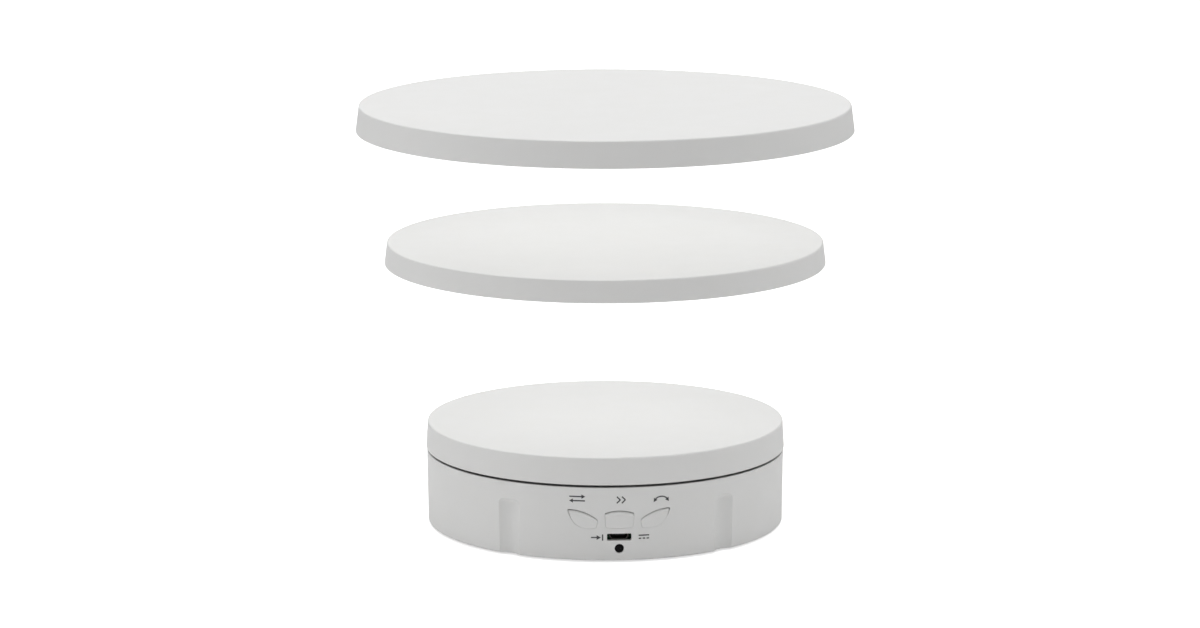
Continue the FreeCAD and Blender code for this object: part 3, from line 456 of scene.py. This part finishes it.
# ------------------------------------------------------------------ legends
# Outlines are drawn flat in millimetres, x to the right and z up, about their own centre.
STROKE = 0.5                # mm, width of every stroke
INK_THICKNESS = 0.00004
INK_SINK = 0.00001          # how far the ink's back face lies inside the wall
WRAP_RADIUS = 0.0725        # turns distance along the wall into an angle
LEGEND_INK = ink("legend_ink")


def wall_radius(z):
    """The housing wall leans out: 72.3 mm at z = 1.2 mm, and 0.4 mm more 29 mm higher."""
    return (72.3 + 0.4 * (z * 1000.0 - 1.2) / 29.0) / 1000.0


def legend(name, outlines, along, height):
    """Print closed outlines on the front wall, centred (mm) along its arc and above z = 0."""
    bm = bmesh.new()
    for outline in outlines:
        bm.faces.new([bm.verts.new((x / 1000.0, z / 1000.0, 0.0)) for x, z in outline])
    bmesh.ops.triangulate(bm, faces=bm.faces)
    bmesh.ops.recalc_face_normals(bm, faces=bm.faces)
    raised = bmesh.ops.extrude_face_region(bm, geom=bm.faces[:])["geom"]
    for item in raised:
        if isinstance(item, bmesh.types.BMVert):
            item.co.z += INK_THICKNESS
    bmesh.ops.recalc_face_normals(bm, faces=bm.faces)
    for vert in bm.verts:
        angle = (vert.co.x + along / 1000.0) / WRAP_RADIUS
        z = vert.co.y + height / 1000.0
        radius = wall_radius(z) - INK_SINK + vert.co.z
        vert.co = (radius * math.sin(angle), -radius * math.cos(angle), z)
    mesh = bpy.data.meshes.new(name)
    bm.to_mesh(mesh)
    bm.free()
    print_object = add_object(name, mesh)
    use_material(print_object, LEGEND_INK)
    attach(print_object, "base")


def bar(x0, z0, x1, z1, steps=8):
    """A straight stroke, cut along its length so that it can follow the wall."""
    run, rise = x1 - x0, z1 - z0
    length = math.hypot(run, rise)
    side_x, side_z = -rise / length * STROKE / 2, run / length * STROKE / 2
    there = [(x0 + run * i / steps + side_x, z0 + rise * i / steps + side_z)
             for i in range(steps + 1)]
    back = [(x1 - run * i / steps - side_x, z1 - rise * i / steps - side_z)
            for i in range(steps + 1)]
    return there + back


def bow(center_z, radius_x, radius_z, start, end, steps=18):
    """A stroke along an ellipse centred on x = 0, from start to end degrees."""
    outer, inner = [], []
    for i in range(steps + 1):
        angle = math.radians(start + (end - start) * i / steps)
        x, z = radius_x * math.cos(angle), radius_z * math.sin(angle)
        normal_x, normal_z = math.cos(angle) / radius_x, math.sin(angle) / radius_z
        length = math.hypot(normal_x, normal_z)
        side_x, side_z = normal_x / length * STROKE / 2, normal_z / length * STROKE / 2
        outer.append((x + side_x, center_z + z + side_z))
        inner.append((x - side_x, center_z + z - side_z))
    return outer + inner[::-1]


def head(x, z, heading, length, half_width):
    """Arrow head with its point at (x, z), pointing along heading degrees."""
    c, s = math.cos(math.radians(heading)), math.sin(math.radians(heading))
    base_x, base_z = x - length * c, z - length * s
    return [(x, z), (base_x - half_width * s, base_z + half_width * c),
            (base_x + half_width * s, base_z - half_width * c)]


def direction_outlines():
    """Two opposed arrows, one above the other."""
    outlines = []
    for side, heading in ((1, 0), (-1, 180)):
        z = 0.85 * side
        outlines.append(bar(-3.1 * side, z, 1.7 * side, z))
        outlines.append(head(3.2 * side, z, heading, length=1.5, half_width=0.85))
    return outlines


def speed_outlines():
    """Two chevrons pointing right."""
    return [bar(x, z, x + 1.35, 0.0, steps=3) for x in (-1.9, 0.1) for z in (1.3, -1.3)]


def angle_outlines():
    """A bow with an arrow head at each end."""
    return [bow(-1.0, radius_x=2.75, radius_z=2.0, start=28, end=152),
            head(-3.15, -1.15, heading=236, length=1.55, half_width=0.85),
            head(3.15, -1.15, heading=-56, length=1.55, half_width=0.85)]


def power_in_outlines():
    """An arrow pointing right at an upright bar."""
    return [bar(-2.4, 0.0, 0.0, 0.0, steps=4),
            head(1.5, 0.0, heading=0, length=1.7, half_width=0.95),
            bar(2.15, -1.25, 2.15, 1.25, steps=2)]


def direct_current_outlines():
    """A long bar over three dashes."""
    dashes = ((-2.1, -1.05), (-0.52, 0.52), (1.05, 2.1))     # left and right ends
    return [bar(-2.1, 0.62, 2.1, 0.62, steps=6)] + \
           [bar(left, -0.62, right, -0.62, steps=2) for left, right in dashes]


legend("legend_direction", direction_outlines(), along=-16.6, height=25.7)
legend("legend_speed", speed_outlines(), along=0.9, height=25.3)
legend("legend_angle", angle_outlines(), along=16.8, height=25.0)
legend("legend_power_in", power_in_outlines(), along=-8.75, height=10.1)
legend("legend_direct_current", direct_current_outlines(), along=9.8, height=10.1)

# -------------------------------------------------------------------- floor
FLOOR_RINGS = (0.2, 0.5, 1.0, 2.0, 4.0, 6.0)     # radii
FLOOR_SEGMENTS = 96
FLOOR_Z = -0.0002


def floor_material():
    """Pale matt floor that also glows a little, to the camera only."""
    s = Shader("pale_floor", color=(0.90, 0.90, 0.90), rough=0.9, specular=0.05,
               emission_color=(1.0, 1.0, 1.0))
    cloud = s.noise(scale=6.0, detail=3.0)
    seen = s.node("ShaderNodeLightPath").outputs["Is Camera Ray"]
    return s.drive(color=s.mottle(cloud, (0.895, 0.895, 0.895), (0.905, 0.905, 0.905)),
                   emission=s.calc("MULTIPLY", seen, 0.66))


def build_floor():
    """A flat disc: a fan of triangles at the centre, then rings of quads."""
    n = FLOOR_SEGMENTS
    verts = [(0, 0, 0)]
    for radius in FLOOR_RINGS:
        for k in range(n):
            angle = 2 * math.pi * k / n
            verts.append((radius * math.cos(angle), radius * math.sin(angle), 0.0))
    faces = [(0, 1 + k, 1 + (k + 1) % n) for k in range(n)]
    for i in range(len(FLOOR_RINGS) - 1):
        for k in range(n):
            a, b = 1 + i * n + k, 1 + i * n + (k + 1) % n
            faces.append((a, a + n, b + n, b))
    mesh = bpy.data.meshes.new("studio_floor")
    mesh.from_pydata(verts, [], faces)
    mesh.update()
    disc = add_object("studio_floor", mesh)
    disc.location.z = FLOOR_Z
    use_material(disc, floor_material())


build_floor()

# ------------------------------------------------------------------ lighting
WORLD_LIGHT = 0.373        # strength of the white world as a light
WORLD_BACKDROP = 1.0       # its strength as the camera sees it

# name, location, height of the target on the Z axis, size, power in watts
LIGHTS = [
    ("key_open", (0.0, 0.1, 1.7), 0.05, (1.8, 1.8), 16.46),
    ("key_shaded", (0.0, 0.1, 1.7), 0.05, (1.8, 1.8), 3.25),
    ("side_left", (-1.8, 0.1, 0.5), 0.08, (1.2, 1.0), 3.2),
    ("side_right", (1.8, 0.1, 0.5), 0.08, (1.2, 1.0), 2.8),
    ("left_front", (-1.4, -1.3, 0.7), 0.08, (1.2, 1.0), 1.7),
    ("back", (0.0, 1.9, 0.8), 0.08, (1.6, 1.0), 3.77),
]


def build_world():
    world = bpy.data.worlds.new("studio_world")
    world.use_nodes = True
    bpy.context.scene.world = world
    nodes, links = world.node_tree.nodes, world.node_tree.links
    nodes.clear()
    output = nodes.new("ShaderNodeOutputWorld")
    switch = nodes.new("ShaderNodeMixShader")
    for slot, strength in ((1, WORLD_LIGHT), (2, WORLD_BACKDROP)):
        background = nodes.new("ShaderNodeBackground")
        background.inputs[0].default_value = (1.0, 1.0, 1.0, 1.0)
        background.inputs[1].default_value = strength
        links.new(background.outputs[0], switch.inputs[slot])
    path = nodes.new("ShaderNodeLightPath")
    links.new(path.outputs["Is Camera Ray"], switch.inputs[0])
    links.new(switch.outputs[0], output.inputs[0])


def area_light(name, location, target_z, size, power):
    light = bpy.data.lights.new(name, "AREA")
    light.shape = "RECTANGLE"
    light.size, light.size_y = size
    light.energy = power
    light.spread = math.pi
    lamp = add_object(name, light)
    lamp.location = location
    aim = Vector((0, 0, target_z)) - Vector(location)
    lamp.rotation_euler = aim.to_track_quat("-Z", "Y").to_euler()
    lamp.visible_camera = False
    return lamp


def pass_through_plates(lamp):
    """Stop the raised plates shading this lamp, so that all three tops stay even."""
    plates = bpy.data.collections.new("key_shadow_exclusions")
    for name in ("medium_plate", "medium_plate_pads", "large_plate", "large_plate_pads"):
        plates.objects.link(PARTS[name])
    for member in plates.collection_objects:
        member.light_linking.link_state = "EXCLUDE"
    lamp.light_linking.blocker_collection = plates


build_world()
lamps = {row[0]: area_light(*row) for row in LIGHTS}
pass_through_plates(lamps["key_open"])

# ------------------------------------------------------------------- camera
CAMERA_DISTANCE = 1.7      # from the Z axis, measured level
CAMERA_HEIGHT = 0.4228
CAMERA_PITCH = 11.23       # degrees below level
CAMERA_AZIMUTH = -4.4      # degrees about Z from -Y, negative towards -X
SENSOR_WIDTH = 36.0        # mm
FOCAL_LENGTH = 128.049     # mm
SHIFT_X = -0.00433333      # in sensor widths


def build_camera():
    camera = bpy.data.cameras.new("camera")
    camera.sensor_fit = "HORIZONTAL"
    camera.sensor_width = SENSOR_WIDTH
    camera.lens = FOCAL_LENGTH
    camera.shift_x = SHIFT_X
    camera.clip_start, camera.clip_end = 0.01, 50.0
    eye = add_object("camera", camera)
    turn = math.radians(CAMERA_AZIMUTH)
    eye.location = (CAMERA_DISTANCE * math.sin(turn), -CAMERA_DISTANCE * math.cos(turn),
                    CAMERA_HEIGHT)
    eye.rotation_euler = (math.radians(90.0 - CAMERA_PITCH), 0.0, turn)
    bpy.context.scene.camera = eye


build_camera()

view = bpy.context.scene.view_settings
view.view_transform = "Standard"
view.look = "None"
view.exposure = 0.0
view.gamma = 1.0
